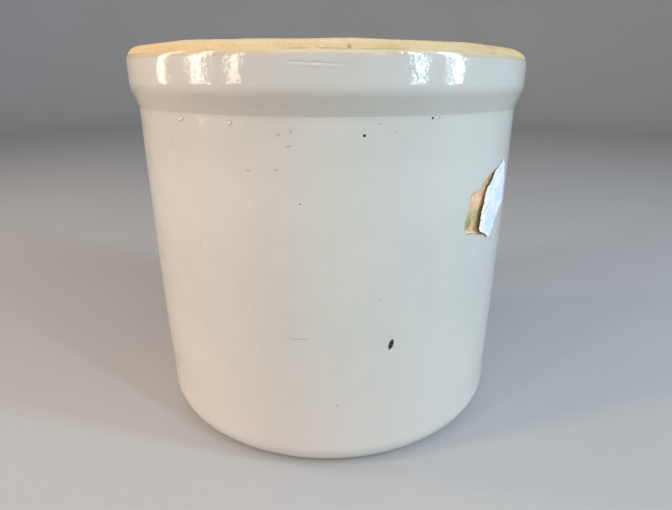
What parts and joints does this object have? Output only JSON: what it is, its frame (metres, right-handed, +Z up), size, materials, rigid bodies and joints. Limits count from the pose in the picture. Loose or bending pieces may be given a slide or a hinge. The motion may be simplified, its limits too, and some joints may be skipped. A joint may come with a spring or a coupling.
{
  "type": "stoneware fermenting crock",
  "caption": "Open straight-sided glazed stoneware crock with a thick collar and bare clay rim, holding a round slatted wooden follower and two half-round weights.",
  "frame": {"origin": "centre of the foot, where the crock stands", "axes": "+Z up along the crock's axis, -Y towards the front, +X to the right seen from the front"},
  "size_m": [0.3299, 0.33, 0.316],
  "materials": {
    "bare_clay": "matte",
    "glaze": "gloss",
    "label": "matte",
    "board_wood": "matte",
    "batten_wood": "matte",
    "peg_wood": "matte",
    "weight_glaze": "satin"
  },
  "bodies": {
    "crock": {"crock_body": "bare_clay", "outer_glaze": "glaze", "inner_glaze": "glaze", "label_remnant": "label"},
    "follower": {"centre_board": "board_wood", "rear_inner_board": "board_wood", "front_inner_board": "board_wood", "rear_outer_board": "board_wood", "front_outer_board": "board_wood", "left_batten": "batten_wood", "right_batten": "batten_wood", "batten_pegs": "peg_wood"},
    "front_weight": {"front_weight": "weight_glaze"},
    "rear_weight": {"rear_weight": "weight_glaze"}
  },
  "joints": [
    {"name": "follower_lift", "type": "slide", "parent": "crock", "child": "follower", "axis": [0, 0, 1], "range_m": [0, 0.32]},
    {"name": "front_weight_lift", "type": "slide", "parent": "follower", "child": "front_weight", "axis": [0, 0, 1], "range_m": [0, 0.28]},
    {"name": "rear_weight_lift", "type": "slide", "parent": "follower", "child": "rear_weight", "axis": [0, 0, 1], "range_m": [0, 0.28]}
  ]
}
